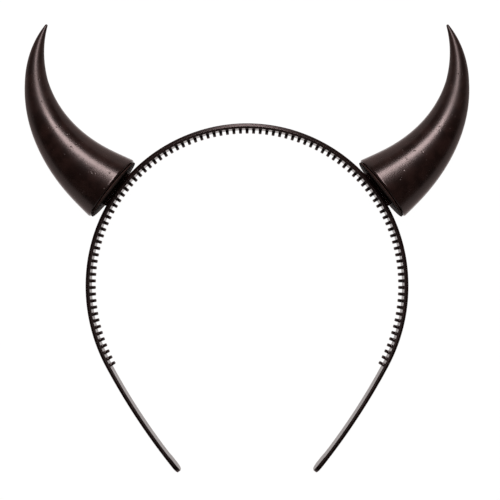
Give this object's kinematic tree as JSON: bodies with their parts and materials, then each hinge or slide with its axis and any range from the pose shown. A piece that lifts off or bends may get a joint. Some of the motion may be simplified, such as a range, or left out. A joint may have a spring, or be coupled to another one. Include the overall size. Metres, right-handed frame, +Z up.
{
  "type": "devil horns headband",
  "caption": "Brownish-black plastic comb headband with two curved, pointed devil horns on round base plates",
  "frame": {"origin": "middle of the bounding box in X and Y, on the table at Z = 0", "axes": "X across the head, Y from the band ends towards the crown, Z up from the table; the headband lies on its side, so the wearer's front or back is up"},
  "size_m": [0.1794, 0.1802, 0.0285],
  "materials": {
    "band_plastic": "satin, brownish black, lightly ground outer face",
    "horn_plastic": "satin, brownish black, fine pitting and a soft sheen",
    "base_plastic": "dull brownish black"
  },
  "bodies": {
    "root": {"headband": "band_plastic", "horn_right": "horn_plastic", "horn_left": "horn_plastic", "horn_base_right": "base_plastic", "horn_base_left": "base_plastic"}
  },
  "joints": []
}
